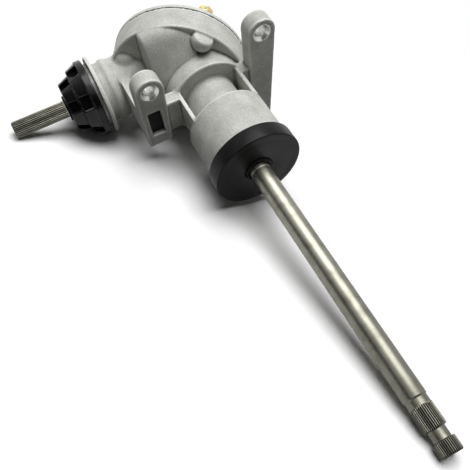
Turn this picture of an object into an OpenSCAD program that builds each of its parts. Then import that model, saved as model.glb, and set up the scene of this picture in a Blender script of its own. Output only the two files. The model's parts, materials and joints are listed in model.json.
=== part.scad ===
// Right-angle steering gearbox: a bevel pair in a cast housing with a bolted cover.
// All lengths are in millimetres and +Z is up.
// Pieces are drawn about the point where the two shaft lines cross.
// The column line runs along -Y and the stub line along -X from that point.
// The row origin is midway between the two lug holes, in the plane of the lug backs.

/* [Shafts] */
// Radius of the plain column shaft outside the housing
column_r = 9.8; // [9.5:0.1:10.1]
// Column shaft end, measured from the crossing point
column_len = 445; // [400:1:480]
// Radius over the serrations of the stub shaft
stub_r = 8.5; // [8.2:0.1:8.8]
// Stub shaft end, measured from the crossing point
stub_len = 188; // [175:1:200]
// Depth of the serrations
serration_depth = 0.7; // [0.5:0.1:0.9]

/* [Gears] */
// Module of the bevel teeth at the large end
gear_module = 2.9; // [2.75:0.05:2.95]
// Tooth length along the cone
gear_face = 14; // [12:0.5:15]
// Clearance left between meshing tooth flanks
flank_gap = 0.3; // [0.2:0.05:0.4]

/* [Bell] */
// Outer radius of the round gear chamber
bell_r = 60; // [59:0.5:61]
// Wall of the gear chamber
bell_wall = 9; // [8.5:0.1:9.2]
// Direction of the cover face, turned from +X toward +Y
cover_turn = 60; // [58.5:0.1:61.5]
// Cover joint, set back from the crossing point
cover_drop = 5; // [4:0.5:6]
// Width of the cover flange outside the round chamber
flange_lip = 9; // [8:0.5:10]
// Height of the cover flange
flange_t = 25; // [22:0.5:26]
// Shift of the flange toward the snout
flange_shift = 3; // [2:0.5:4]
// Distance of the cover bolts in from the edge of the flange
bolt_inset = 9.5; // [9:0.25:10]
// Radius of the round bolt bosses
boss_r = 10.5; // [9.5:0.5:11]
// Length of the longer bolt bosses up to their round ends
boss_len = 27; // [25:1:32]
// Thickness of the gasket
gasket_t = 1; // [0.6:0.1:1.5]
// Thickness of the cover plate
cover_t = 4.5; // [4:0.1:6]

/* [Column tube] */
// Radius of the collar at its face
collar_r = 41; // [39.5:0.5:42]
// Wall of the collar past its bearing
collar_lip = 2; // [1.5:0.5:4]
// Radius of the neck between the collar and the tube
neck_r = 26; // [25:0.5:28]
// Start of the tube, measured from the crossing point
tube_start = 100; // [96:0.5:104]
// Radius of the tube
tube_r = 40; // [39:0.25:41]
// End of the tube under the cap
tube_end = 158; // [156:0.5:159]
// Radius of the rubber cap over the tube
cap_r = 43.4; // [42.8:0.1:45]
// Edge of the cap that faces the housing
cap_start = 148.7; // [147:0.1:151]
// Outer face of the cap
cap_end = 164.8; // [163:0.1:168]

/* [Stub snout] */
// Radius of the snout round the stub shaft
snout_r = 30; // [29.5:0.25:31]
// Length of the snout past its outer bearing
snout_lip = 3; // [2.6:0.1:4]
// Radius of the rim at the snout end
rim_r = 39; // [37:0.5:41]
// Thickness of the rim
rim_t = 4; // [3:0.5:6]
// Radius of the spacer ring behind the lock ring
spacer_r = 33; // [31:0.5:35]
// Thickness of the spacer ring
spacer_t = 7; // [5:0.5:8]
// Largest radius of the notched lock ring
lock_r = 38.5; // [37:0.5:40]
// Thickness of the lock ring
lock_t = 14.5; // [13:0.5:16]
// Largest radius of the castellated adjuster head
head_r = 29; // [28:0.5:31]
// Length of the adjuster head
head_t = 12; // [11:0.5:14]

/* [Mounting lugs] */
// Left lug hole, sideways from the column line
left_lug_x = 60.3; // [58:0.1:63]
// Left lug hole, above the shaft lines
left_lug_z = 50; // [47:0.5:53]
// Right lug hole, sideways from the column line
right_lug_x = 55; // [54:0.1:58]
// Right lug hole, above the shaft lines
right_lug_z = 64; // [60:0.5:67]
// Width of a lug
lug_w = 28; // [26:0.5:29]
// Thickness of a lug
lug_t = 16.5; // [15:0.5:18]
// Radius of the lug holes
lug_hole_r = 5.5; // [4.5:0.25:6.5]
// Front faces of both lugs, measured from the crossing point
lug_face = 74.5; // [73:0.5:77]
// Lower end of the left lug, below the shaft lines
left_drop = 19; // [16:1:24]
// Lower end of the right lug, below the shaft lines
right_drop = 52; // [44:1:58]
// Top of the webs that carry the lugs, above the shaft lines
web_top = 24; // [22:0.5:26]

/* [Clearances] */
// Radial running clearance of a shaft in its seal
run_gap = 0.06; // [0.03:0.01:0.1]
// Clearance between fixed pieces that sit together
seat_gap = 0.03; // [0.02:0.01:0.05]
// Clearance between the balls and their tracks
ball_gap = 0.3; // [0.25:0.05:0.4]

/* [Hidden] */

$fn = 96;

// Tooth counts of the bevel pair
column_teeth = 26;
stub_teeth = 15;
pressure = 20;
column_pitch_r = gear_module * column_teeth / 2;
stub_pitch_r = gear_module * stub_teeth / 2;
column_cone = atan2(column_teeth, stub_teeth);
stub_cone = 90 - column_cone;
cone_len = sqrt(pow(column_pitch_r, 2) + pow(stub_pitch_r, 2));
taper = 1 - gear_face / cone_len;
column_toe = stub_pitch_r * taper;
stub_toe = column_pitch_r * taper;

// Gear chamber and cover
chamber_r = bell_r - bell_wall;
flange_r = bell_r + flange_lip;
bolt_circle_r = flange_r - bolt_inset;

// Standard ball bearings: bore radius, outer radius, width, ball circle radius, ball radius, balls
column_front = [15, 31, 16, 23, 4.76, 9];
column_rear = [10, 21, 12, 15.5, 3.175, 9];
stub_bearing = [10, 23.5, 14, 16.75, 3.97, 8];

// Places along the column line
rear_seat = chamber_r - 3;
rear_end = rear_seat + column_rear[2];
collar_end = rear_end + collar_lip;
front_seat = 128;
front_end = front_seat + column_front[2];
shaft_step = front_end + 3.4;
seal_r = column_r + 0.3;
seal_t = 3.5;
seal_journal_end = cap_end + 4.2;
gear_seat_r = 9.5;
key_low = 6;
key_w = 6;
key_len = 20;
key_start = column_toe + 5;
column_nut_t = 7;
neck_bore_r = 17;
tube_bore_r = column_front[1] - 5;

// Places along the stub line
stub_rear_seat = chamber_r + 5;
stub_rear_end = stub_rear_seat + stub_bearing[2];
stub_front_seat = stub_rear_end + 10;
stub_front_end = stub_front_seat + stub_bearing[2];
snout_end = stub_front_end + snout_lip;
snout_bore_r = stub_bearing[1] - 3.5;
lock_start = snout_end + spacer_t;
head_start = lock_start + lock_t;
head_end = head_start + head_t;
plug_r = stub_bearing[1];
stub_key_w = 5;
stub_key_len = 16;
stub_key_start = stub_toe + 1.5;
stub_nut_t = 9;

// Spanner slots of the lock ring and the adjuster
slot_turns = [10, 70, 130, 190, 250, 310];
slot_w = 7;

// Chamber cut where the snout leaves the bell
stub_flat = 45;

// Cover bolts
bolt_turns = [28, 118, 208, 298];
short_boss_len = 22;
boss_lens = [boss_len, short_boss_len, boss_len, short_boss_len];

// Part of the turn about the column line where the chamber wall runs out to the flange
shoulder_from = 90;
shoulder_turn = 273;
shoulder_r = 82;
shoulder_start = 20;
shoulder_end = 47;

bolt_r = 4;
bolt_len = 26;
bolt_head_r = 8;
bolt_head_t = 6.6;
washer_r = 8.4;
washer_t = 1.6;
cover_seat = gasket_t + cover_t;
dish_in = 10.8;
dish_out = 14;

// Retaining rings
clip_t = 1.5;
clip_deep = 1.6;
clip_open = 24;

// Webs that carry the lugs
web_low = 12;
web_back = 57.5;
web_sink = 3.5;
stay_w = 10;
stay_back = 15;
rib_out = 34;
rib_in = 30.5;
counter_r = lug_hole_r + 3;

// Window in the left lug and the rubber pad in it
pad_off = 8.2;
pad_low = -5.5;
pad_w = 13.6;
pad_h = 30.5;
pad_sink = 4;

// Row origin seen from the crossing point
row_x = (right_lug_x - left_lug_x) / 2;
row_z = (left_lug_z + right_lug_z) / 2;

// Serrated ends of the column shaft
end_serration = 10.7;
end_groove = 9;
main_serration = 17.8;
end_relief = 5.5;
column_serrations = 36;
stub_serrations = 32;

// Put a piece drawn about the crossing point into the row frame
module place() {
    translate([-row_x, lug_face - lug_t, -row_z]) children();
}

// Turn +Z onto the column line, -Y
module on_column() {
    rotate([90, 0, 0]) children();
}

// Turn +Z onto the stub line, -X
module on_stub() {
    rotate([0, -90, 0]) children();
}

// Turn +Z onto the cover axis and local +X onto the old +Z
module on_cover() {
    rotate([0, 0, cover_turn]) rotate([0, 90, 0]) rotate([0, 0, 180]) children();
}

// Shifted middle of the cover flange
module on_flange() {
    on_cover() translate([0, -flange_shift, -cover_drop]) children();
}

module at_bolt(i) {
    on_cover() rotate([0, 0, bolt_turns[i]]) translate([bolt_circle_r, 0, -cover_drop]) children();
}

// A plain ring from a to b along its axis
module ring(r_in, r_out, a, b) {
    translate([0, 0, a]) rotate_extrude() translate([r_in, 0]) square([r_out - r_in, b - a]);
}

// A solid of revolution from steps of [radius, end place], starting at place a
module stepped(a, steps) {
    last = len(steps) - 1;
    rotate_extrude() polygon(concat([[0, a]],
        [for (i = [0 : last]) each
            [[steps[i][0], i == 0 ? a : steps[i - 1][1]], [steps[i][0], steps[i][1]]]],
        [[0, steps[last][1]]]));
}

// Serrated round bar along +Z
module serrated(r, deep, n, h) {
    linear_extrude(height = h)
        polygon([for (i = [0 : 2 * n - 1])
            let (q = i % 2 == 0 ? r : r - deep, a = 180 * i / n) [q * cos(a), q * sin(a)]]);
}

// Involute function of an angle, in degrees
function inv(a) = tan(a) * 180 / PI - a;

// Half thickness angle of a virtual spur tooth at radius q
function half_angle(q, rv, zv) =
    let (rb = rv * cos(pressure), a = q > rb ? acos(rb / q) : 0)
        90 / zv - flank_gap / (2 * rv) * 180 / PI + inv(pressure) - inv(a);

// One bevel tooth outline on the flat large end: flank points up, then down
function tooth(n, cone, r, turn) =
    let (rv = r / cos(cone), zv = n / cos(cone), rb = rv * cos(pressure),
        low = rv - 1.25 * gear_module, high = rv + gear_module,
        reach = r / tan(cone), start = max(low, rb),
        qs = concat([low], [for (k = [0 : 5]) start + 0.05 + (high - start - 0.05) * k / 5]),
        up = [for (q = qs)
            [reach * tan(cone + atan((q - rv) / cone_len)), half_angle(q, rv, zv) / cos(cone)]])
    concat(
        [for (p = up) [p[0] * cos(turn - p[1]), p[0] * sin(turn - p[1])]],
        [for (k = [len(up) - 1 : -1 : 0])
            [up[k][0] * cos(turn + up[k][1]), up[k][0] * sin(turn + up[k][1])]]);

// Straight bevel teeth: the outline at the large end drawn in toward the crossing point
module bevel_teeth(n, cone, r, first) {
    reach = r / tan(cone);
    translate([0, 0, reach]) mirror([0, 0, 1])
        linear_extrude(height = reach * (1 - taper), scale = taper)
            polygon([for (i = [0 : n - 1]) each tooth(n, cone, r, first + 360 * i / n)]);
}

// Groove section of a ball race
module race(r_in, r_out, b) {
    rotate_extrude() difference() {
        translate([r_in, 0]) square([r_out - r_in, b[2]]);
        translate([b[3], b[2] / 2]) circle(r = b[4]);
    }
}

module outer_race(b) {
    race(b[3] + 0.55 * b[4], b[1] - seat_gap, b);
}

module inner_race(b) {
    race(b[0] + seat_gap, b[3] - 0.55 * b[4], b);
}

// Balls held in one thin cage
module ball_set(b) {
    for (i = [0 : b[5] - 1])
        rotate([0, 0, 360 * i / b[5]]) translate([b[3], 0, b[2] / 2]) sphere(r = b[4] - ball_gap);
    translate([0, 0, b[2] / 2 - b[4] * 0.62])
        ring(b[3] - b[4] * 0.3, b[3] + b[4] * 0.3, 0, b[4] * 1.24);
}

// Split retaining ring, open over the given angle at local +X
module split_clip(r_in, r_out, t, open) {
    difference() {
        ring(r_in, r_out, 0, t);
        rotate([0, 0, -open / 2]) rotate_extrude(angle = open) translate([r_in - 1, -1])
            square([r_out - r_in + 2, t + 2]);
    }
}

// A lug: an upright bar with a round top, narrowed by taper at its lower end
module lug_bar(x, z, drop, side, taper) {
    translate([0, -lug_face + lug_t, 0]) rotate([90, 0, 0]) linear_extrude(height = lug_t)
        polygon([[x - side * lug_w / 2, z], [x + side * lug_w / 2, z],
            [x + side * (lug_w / 2 - taper), -drop], [x - side * lug_w / 2, -drop]]);
    translate([x, -lug_face + lug_t, z]) rotate([90, 0, 0]) cylinder(r = lug_w / 2, h = lug_t);
}

// Hole through a lug with a wider countersunk mouth
module lug_hole(x, z) {
    translate([x, -lug_face + lug_t + 1, z]) rotate([90, 0, 0]) cylinder(r = lug_hole_r, h = lug_t + 2);
    translate([x, -lug_face + 3, z]) rotate([90, 0, 0]) cylinder(r1 = lug_hole_r, r2 = counter_r, h = 3.01);
}

// Web from a lug to the collar, with a thin rib on to the tube
module web(side, reach) {
    translate([0, 0, -web_low]) linear_extrude(height = web_low + web_top)
        polygon([[side * rib_in, -web_back], [side * reach, -web_back], [side * reach, web_sink - lug_face],
            [side * rib_out, web_sink - lug_face], [side * (rib_out - 1), -tube_start - 1],
            [side * (rib_in - 1), -tube_start - 1]]);
}

// Stay from the back of the left lug to the snout
module stay() {
    translate([-left_lug_x - lug_w / 2, lug_t - lug_face - 1, -web_low])
        cube([stay_w, lug_face - lug_t + 1 - stay_back, web_low + web_top]);
}

// Cut a piece off where the snout and the collar begin
module trimmed() {
    difference() {
        children();
        translate([-100 - stub_flat, -100, -100]) cube([100, 200, 200]);
        translate([-100, -100 - shoulder_end, -100]) cube([200, 100, 200]);
    }
}

// Round gear chamber with the cover flange and the hood that runs out to it
module chamber() {
    trimmed() sphere(r = bell_r);
    intersection() {
        on_flange() translate([0, 0, -bell_r]) cylinder(r = flange_r, h = bell_r + 1);
        union() {
            on_flange() translate([0, 0, -flange_t]) cylinder(r = 2 * flange_r, h = 2 * flange_t);
            trimmed() on_column() rotate([0, 0, shoulder_from]) rotate_extrude(angle = shoulder_turn)
                polygon([[20, 0], [shoulder_r, 0], [shoulder_r, shoulder_start],
                    [collar_r, shoulder_end], [20, shoulder_end]]);
        }
    }
}

// Cast aluminium body: gear chamber, column tube, stub snout and mounting lugs
module housing() {
    color("#c3c3bd") place() difference() {
        union() {
            chamber();
            for (i = [0 : 3]) at_bolt(i) {
                translate([0, 0, -boss_lens[i]]) cylinder(r = boss_r, h = boss_lens[i] + 1);
                translate([0, 0, -boss_lens[i]]) sphere(r = boss_r);
            }
            on_column() {
                translate([0, 0, shoulder_end - 9])
                    cylinder(r1 = collar_r + 1.5, r2 = collar_r, h = collar_end - shoulder_end + 9);
                translate([0, 0, shoulder_end]) cylinder(r = neck_r, h = tube_start - shoulder_end + 1);
                translate([0, 0, tube_start]) cylinder(r = tube_r, h = tube_end - tube_start);
            }
            on_stub() {
                translate([0, 0, stub_flat - 12]) cylinder(r = snout_r, h = snout_end - stub_flat + 12);
                translate([0, 0, snout_end - rim_t]) cylinder(r = rim_r, h = rim_t);
                translate([0, 0, snout_end - rim_t - 11]) rotate_extrude()
                    translate([snout_r - 3, 0]) circle(r = 5);
            }
            lug_bar(-left_lug_x, left_lug_z, left_drop, 1, 4);
            lug_bar(right_lug_x, right_lug_z, right_drop, 1, 7.5);
            web(-1, left_lug_x - lug_w / 2 + 5);
            web(1, right_lug_x - lug_w / 2 + 5);
            stay();
        }
        on_flange() cylinder(r = 2 * bell_r, h = 2 * bell_r);
        sphere(r = chamber_r);
        on_column() {
            translate([0, 0, 20]) cylinder(r = column_rear[1], h = rear_end - 20);
            translate([0, 0, rear_end - 1]) cylinder(r = neck_bore_r, h = tube_start + 6 - rear_end);
            translate([0, 0, tube_start + 4]) cylinder(r = tube_bore_r, h = front_seat - tube_start - 3);
            translate([0, 0, front_seat]) cylinder(r = column_front[1], h = tube_end - front_seat + 1);
            translate([0, 0, front_end + 0.3]) cylinder(r = column_front[1] + clip_deep, h = clip_t + 0.2);
            translate([0, 0, rear_seat - clip_t - 0.5])
                cylinder(r = column_rear[1] + clip_deep, h = clip_t + 0.2);
        }
        on_stub() {
            translate([0, 0, 20]) cylinder(r = snout_bore_r, h = stub_rear_seat - 19);
            translate([0, 0, stub_rear_seat]) cylinder(r = stub_bearing[1], h = 60);
        }
        for (i = [0 : 3]) at_bolt(i) translate([0, 0, -bolt_len]) cylinder(r = bolt_r, h = bolt_len + 1);
        lug_hole(-left_lug_x, left_lug_z);
        lug_hole(right_lug_x, right_lug_z);
        translate([-left_lug_x - pad_off, -lug_face - 1, pad_low]) cube([pad_w, lug_t + 2, pad_h]);
    }
}

// Dished cover plate
module cover() {
    color("#c9c9c4") place() difference() {
        union() {
            on_flange() translate([0, 0, gasket_t]) cylinder(r = flange_r, h = cover_t);
            on_cover() translate([0, 0, gasket_t + 1 - cover_drop])
                cylinder(r1 = chamber_r + 9, r2 = chamber_r + 1.8, h = dish_out - gasket_t - 1);
        }
        on_cover() translate([0, 0, -cover_drop - 1]) cylinder(r = chamber_r - 0.5, h = dish_in + 1);
        for (i = [0 : 3]) at_bolt(i) {
            cylinder(r = bolt_r + 0.5, h = 20);
            translate([0, 0, cover_seat]) cylinder(r = washer_r + 0.6, h = 20);
        }
    }
}

module cover_gasket() {
    color("#2e2c29") place() difference() {
        on_flange() cylinder(r = flange_r - 0.3, h = gasket_t);
        on_cover() translate([0, 0, -cover_drop - 1]) cylinder(r = chamber_r - 0.2, h = 4);
        for (i = [0 : 3]) at_bolt(i) translate([0, 0, -1]) cylinder(r = bolt_r + 0.5, h = 4);
    }
}

// Hexagon bolt: head above the washer, shank into the boss
module cover_bolt(i) {
    color("#c9b168") place() at_bolt(i) {
        translate([0, 0, cover_seat + washer_t]) cylinder(r = bolt_head_r, h = bolt_head_t, $fn = 6);
        translate([0, 0, 1 - bolt_len]) cylinder(r = bolt_r - seat_gap, h = bolt_len + cover_seat + washer_t);
    }
}

module cover_washer(i) {
    color("#c4b070") place() at_bolt(i) ring(bolt_r + 0.4, washer_r, cover_seat, cover_seat + washer_t);
}

// Rubber pad in the window of the left lug
module lug_pad() {
    color("#161616") place()
        translate([seat_gap - left_lug_x - pad_off, pad_sink - lug_face, pad_low + seat_gap])
            cube([pad_w - 2 * seat_gap, lug_t - 2 * pad_sink, pad_h - 2 * seat_gap]);
}

// Rubber cap that slips over the end of the tube
module tube_cap() {
    color("#1d1d20") place() on_column() difference() {
        union() {
            translate([0, 0, cap_start]) cylinder(r = cap_r, h = cap_end - cap_start - 1);
            translate([0, 0, cap_end - 1]) cylinder(r1 = cap_r, r2 = cap_r - 1, h = 1);
        }
        translate([0, 0, cap_start - 1]) cylinder(r = tube_r + seat_gap, h = tube_end - cap_start + 1);
        translate([0, 0, cap_start]) cylinder(r = seal_r + seal_t, h = cap_end - cap_start + 1);
    }
}

// Lip ring between the cap and the column shaft
module column_seal() {
    color("#141416") place() on_column() translate([0, 0, tube_end + 0.5]) rotate_extrude() {
        translate([seal_r + run_gap, 0]) square([seal_t - run_gap - seat_gap, cap_end - tube_end - 0.5]);
        difference() {
            translate([seal_r + 1.9, cap_end - tube_end - 0.5]) circle(r = 1.5);
            translate([0, cap_end - tube_end - 4]) square([40, 3.5]);
        }
    }
}

// Ring that keeps the front column bearing in the tube
module column_circlip() {
    color("#5a5c5f") place() on_column() translate([0, 0, front_end + 0.4])
        split_clip(column_front[1] - 2.4, column_front[1] + clip_deep - 0.1, clip_t, clip_open);
}

// Ring that keeps the rear column bearing in the collar
module collar_circlip() {
    color("#5a5c5f") place() on_column() translate([0, 0, rear_seat - clip_t - 0.4])
        split_clip(column_rear[1] - 2.2, column_rear[1] + clip_deep - 0.1, clip_t, clip_open);
}

// Plain ring between the snout rim and the lock ring
module spacer_ring() {
    color("#b9bbba") place() on_stub() ring(plug_r + seat_gap, spacer_r, snout_end, lock_start);
}

// Tube between the two stub bearings
module stub_spacer() {
    color("#a4a6a8") place() on_stub()
        ring(snout_bore_r, stub_bearing[1] - seat_gap, stub_rear_end + seat_gap, stub_front_seat - seat_gap);
}

// Notched ring that locks the adjuster
module lock_ring() {
    color("#1a1a1c") place() on_stub() difference() {
        union() {
            translate([0, 0, lock_start]) cylinder(r = lock_r, h = 3.2);
            translate([0, 0, lock_start + 3.2]) cylinder(r1 = lock_r, r2 = lock_r - 5.5, h = lock_t - 3.2);
        }
        translate([0, 0, lock_start - 1]) cylinder(r = plug_r + seat_gap, h = lock_t + 2);
        for (a = slot_turns) rotate([0, 0, a])
            translate([lock_r - 9, -slot_w / 2, lock_start + 3.2]) cube([12, slot_w, lock_t]);
    }
}

// Screwed adjuster with a castellated head
module adjuster() {
    color("#202023") place() on_stub() difference() {
        union() {
            translate([0, 0, stub_front_end + 0.2])
                cylinder(r = plug_r - seat_gap, h = head_start - stub_front_end);
            translate([0, 0, head_start]) cylinder(r1 = head_r, r2 = head_r - 5, h = head_t);
        }
        translate([0, 0, stub_front_end - 1]) cylinder(r = plug_r - 5, h = head_start - stub_front_end);
        translate([0, 0, stub_front_end]) cylinder(r = stub_r + 1.2, h = 60);
        translate([0, 0, head_end - 5]) cylinder(r = stub_r + 5, h = 6);
        for (a = slot_turns) rotate([0, 0, a])
            translate([head_r - 10, -slot_w / 2, head_start + 1]) cube([16, slot_w, head_t]);
    }
}

// Lip ring between the adjuster and the stub shaft
module stub_seal() {
    color("#141416") place() on_stub()
        ring(stub_r + 0.15 + run_gap, stub_r + 5 - seat_gap, head_end - 4.9, head_end + 2);
}

module column_front_outer_race() {
    color("#a9abad") place() on_column() translate([0, 0, front_seat]) outer_race(column_front);
}

module column_rear_outer_race() {
    color("#a9abad") place() on_column() translate([0, 0, rear_seat]) outer_race(column_rear);
}

module stub_front_outer_race() {
    color("#a9abad") place() on_stub() translate([0, 0, stub_front_seat]) outer_race(stub_bearing);
}

module stub_rear_outer_race() {
    color("#a9abad") place() on_stub() translate([0, 0, stub_rear_seat]) outer_race(stub_bearing);
}

module column_front_balls() {
    color("#c2a15c") place() on_column() translate([0, 0, front_seat]) ball_set(column_front);
}

module column_rear_balls() {
    color("#c2a15c") place() on_column() translate([0, 0, rear_seat]) ball_set(column_rear);
}

module stub_front_balls() {
    color("#c2a15c") place() on_stub() translate([0, 0, stub_front_seat]) ball_set(stub_bearing);
}

module stub_rear_balls() {
    color("#c2a15c") place() on_stub() translate([0, 0, stub_rear_seat]) ball_set(stub_bearing);
}

// Column shaft: nut thread, gear seat, two bearing seats, plain bar and serrated end
module column_shaft() {
    serration_end = column_len - end_serration - end_groove - main_serration;
    color("#b8b6a8") place() on_column() difference() {
        union() {
            stepped(column_toe - column_nut_t - 1, [
                [7.5, column_toe + 0.4], [gear_seat_r, rear_seat], [column_rear[0], rear_end],
                [13, front_seat], [column_front[0], shaft_step], [seal_r, seal_journal_end],
                [column_r, serration_end - end_relief],
                [column_r - 0.25, serration_end]]);
            translate([0, 0, serration_end - 1])
                serrated(column_r - 0.4, serration_depth, column_serrations, main_serration + 1);
            translate([0, 0, column_len - end_serration - end_groove - 1])
                cylinder(r = column_r - 2.6, h = end_groove + 2);
            translate([0, 0, column_len - end_serration])
                serrated(column_r - 0.6, serration_depth, column_serrations, end_serration);
        }
        translate([-key_w / 2, key_low, key_start]) cube([key_w, 10, key_len]);
        translate([0, 0, front_end + 0.3]) difference() {
            cylinder(r = 20, h = clip_t + 0.2);
            translate([0, 0, -1]) cylinder(r = column_front[0] - 1.2, h = 5);
        }
    }
}

// Larger bevel gear, with one tooth pointing at the stub gear
module column_gear() {
    color("#8f9194") place() on_column() difference() {
        union() {
            bevel_teeth(column_teeth, column_cone, column_pitch_r, 180);
            translate([0, 0, stub_pitch_r - 0.01]) cylinder(r1 = 27, r2 = 17, h = 8);
            translate([0, 0, stub_pitch_r]) cylinder(r = 16, h = rear_seat - 0.2 - stub_pitch_r);
        }
        cylinder(r = gear_seat_r + seat_gap, h = 80);
        translate([-key_w / 2 - seat_gap, 0, -1])
            cube([key_w + 2 * seat_gap, key_low + key_w + seat_gap, 80]);
    }
}

module column_key() {
    color("#77797c") place() on_column()
        translate([seat_gap - key_w / 2, key_low + seat_gap, key_start + seat_gap])
            cube([key_w - 2 * seat_gap, key_w - seat_gap, key_len - 2 * seat_gap]);
}

module column_nut() {
    color("#9a9c9e") place() on_column() difference() {
        translate([0, 0, column_toe - column_nut_t - 0.1]) cylinder(r = 12, h = column_nut_t, $fn = 6);
        cylinder(r = 7.5 + seat_gap, h = column_toe + 1);
    }
}

// Outer retaining ring on the column shaft
module column_shaft_clip() {
    color("#5a5c5f") place() on_column() translate([0, 0, front_end + 0.4])
        split_clip(column_front[0] - 1.1, column_front[0] + 2.2, clip_t, clip_open);
}

module column_front_inner_race() {
    color("#b3b5b7") place() on_column() translate([0, 0, front_seat]) inner_race(column_front);
}

module column_rear_inner_race() {
    color("#b3b5b7") place() on_column() translate([0, 0, rear_seat]) inner_race(column_rear);
}

// Stub shaft: nut thread, gear seat, two bearing seats with a collar between, serrated end
module stub_shaft() {
    color("#a8a79c") place() on_stub() difference() {
        union() {
            stepped(stub_toe - stub_nut_t - 1, [
                [7, stub_toe + 0.4], [9, stub_rear_seat], [stub_bearing[0], stub_rear_end],
                [12.5, stub_front_seat], [stub_bearing[0], stub_front_end + 2],
                [stub_r + 0.15, head_end + 3]]);
            translate([0, 0, head_end + 2])
                serrated(stub_r, serration_depth, stub_serrations, stub_len - head_end - 2);
        }
        translate([-stub_key_w / 2, key_low, stub_key_start]) cube([stub_key_w, 10, stub_key_len]);
    }
}

// Smaller bevel gear, with one tooth space facing the column gear
module stub_gear() {
    color("#8a8c8f") place() on_stub() difference() {
        union() {
            bevel_teeth(stub_teeth, stub_cone, stub_pitch_r, 180 / stub_teeth - 90);
            translate([0, 0, column_pitch_r - 0.01]) cylinder(r1 = 16.5, r2 = 14, h = 6);
            translate([0, 0, column_pitch_r]) cylinder(r = 14, h = stub_rear_seat - 0.2 - column_pitch_r);
        }
        cylinder(r = 9 + seat_gap, h = 80);
        translate([-stub_key_w / 2 - seat_gap, 0, -1])
            cube([stub_key_w + 2 * seat_gap, key_low + stub_key_w + seat_gap, 80]);
    }
}

module stub_key() {
    color("#77797c") place() on_stub()
        translate([seat_gap - stub_key_w / 2, key_low + seat_gap, stub_key_start + seat_gap])
            cube([stub_key_w - 2 * seat_gap, stub_key_w - seat_gap, stub_key_len - 2 * seat_gap]);
}

module stub_nut() {
    color("#9a9c9e") place() on_stub() difference() {
        translate([0, 0, stub_toe - stub_nut_t - 0.1]) cylinder(r = 11, h = stub_nut_t, $fn = 6);
        cylinder(r = 7 + seat_gap, h = stub_toe + 1);
    }
}

module stub_front_inner_race() {
    color("#b3b5b7") place() on_stub() translate([0, 0, stub_front_seat]) inner_race(stub_bearing);
}

module stub_rear_inner_race() {
    color("#b3b5b7") place() on_stub() translate([0, 0, stub_rear_seat]) inner_race(stub_bearing);
}

housing();
cover();
cover_gasket();
cover_bolt(0);  // cover_bolt_1
cover_bolt(1);  // cover_bolt_2
cover_bolt(2);  // cover_bolt_3
cover_bolt(3);  // cover_bolt_4
cover_washer(0);  // cover_washer_1
cover_washer(1);  // cover_washer_2
cover_washer(2);  // cover_washer_3
cover_washer(3);  // cover_washer_4
lug_pad();
tube_cap();
column_seal();
column_circlip();
collar_circlip();
spacer_ring();
lock_ring();
adjuster();
stub_seal();
stub_spacer();
column_front_outer_race();
column_rear_outer_race();
stub_front_outer_race();
stub_rear_outer_race();
column_front_balls();
column_rear_balls();
stub_front_balls();
stub_rear_balls();
column_shaft();
column_gear();
column_key();
column_nut();
column_shaft_clip();
column_front_inner_race();
column_rear_inner_race();
stub_shaft();
stub_gear();
stub_key();
stub_nut();
stub_front_inner_race();
stub_rear_inner_race();
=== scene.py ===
# %% [markdown]
# A right-angle steering gearbox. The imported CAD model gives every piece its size, place and motion. This
# script dresses it: the casting gets rounded edges and cast blends, turned pieces get true edges and
# serrations, and each finish is a node material. The frame comes first, because every later place is
# measured from it.

# %% Load the frame
import json
import math

import bmesh
import bpy
import numpy as np
from mathutils import Matrix, Vector

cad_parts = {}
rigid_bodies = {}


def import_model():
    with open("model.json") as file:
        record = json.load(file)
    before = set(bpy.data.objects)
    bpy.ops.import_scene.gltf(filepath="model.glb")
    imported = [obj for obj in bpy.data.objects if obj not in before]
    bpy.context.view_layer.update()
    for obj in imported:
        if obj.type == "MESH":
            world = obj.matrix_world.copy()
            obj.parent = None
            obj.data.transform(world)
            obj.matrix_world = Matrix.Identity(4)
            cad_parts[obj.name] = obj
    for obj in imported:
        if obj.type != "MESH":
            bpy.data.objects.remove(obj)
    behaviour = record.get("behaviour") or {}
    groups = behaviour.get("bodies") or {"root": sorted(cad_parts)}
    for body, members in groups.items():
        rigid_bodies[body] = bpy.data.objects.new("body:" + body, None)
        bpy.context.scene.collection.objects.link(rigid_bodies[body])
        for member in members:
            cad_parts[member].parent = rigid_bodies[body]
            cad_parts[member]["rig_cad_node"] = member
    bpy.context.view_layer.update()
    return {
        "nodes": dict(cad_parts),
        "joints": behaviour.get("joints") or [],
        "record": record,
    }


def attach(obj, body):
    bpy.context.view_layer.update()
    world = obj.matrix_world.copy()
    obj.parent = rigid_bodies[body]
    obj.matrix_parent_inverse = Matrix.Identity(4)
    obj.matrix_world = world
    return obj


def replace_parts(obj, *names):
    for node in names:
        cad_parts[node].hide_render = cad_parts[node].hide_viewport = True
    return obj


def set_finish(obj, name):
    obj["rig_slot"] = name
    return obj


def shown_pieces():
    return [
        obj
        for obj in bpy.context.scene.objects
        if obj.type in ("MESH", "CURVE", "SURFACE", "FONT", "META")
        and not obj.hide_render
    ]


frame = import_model()
MM = 0.001
crossing = np.array(frame["joints"][0]["pos_m"])
print("nodes", len(frame["nodes"]), "shaft lines cross at", crossing)

# %% [markdown]
# Shapes below are worked out in millimetres round the point where the two shaft lines cross, because that
# is how the gearbox is drawn: the column shaft runs along -Y and the stub shaft along -X. One function moves
# finished points into the frame of the model and makes a mesh from whole arrays, so no code walks over
# single vertices.


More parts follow.
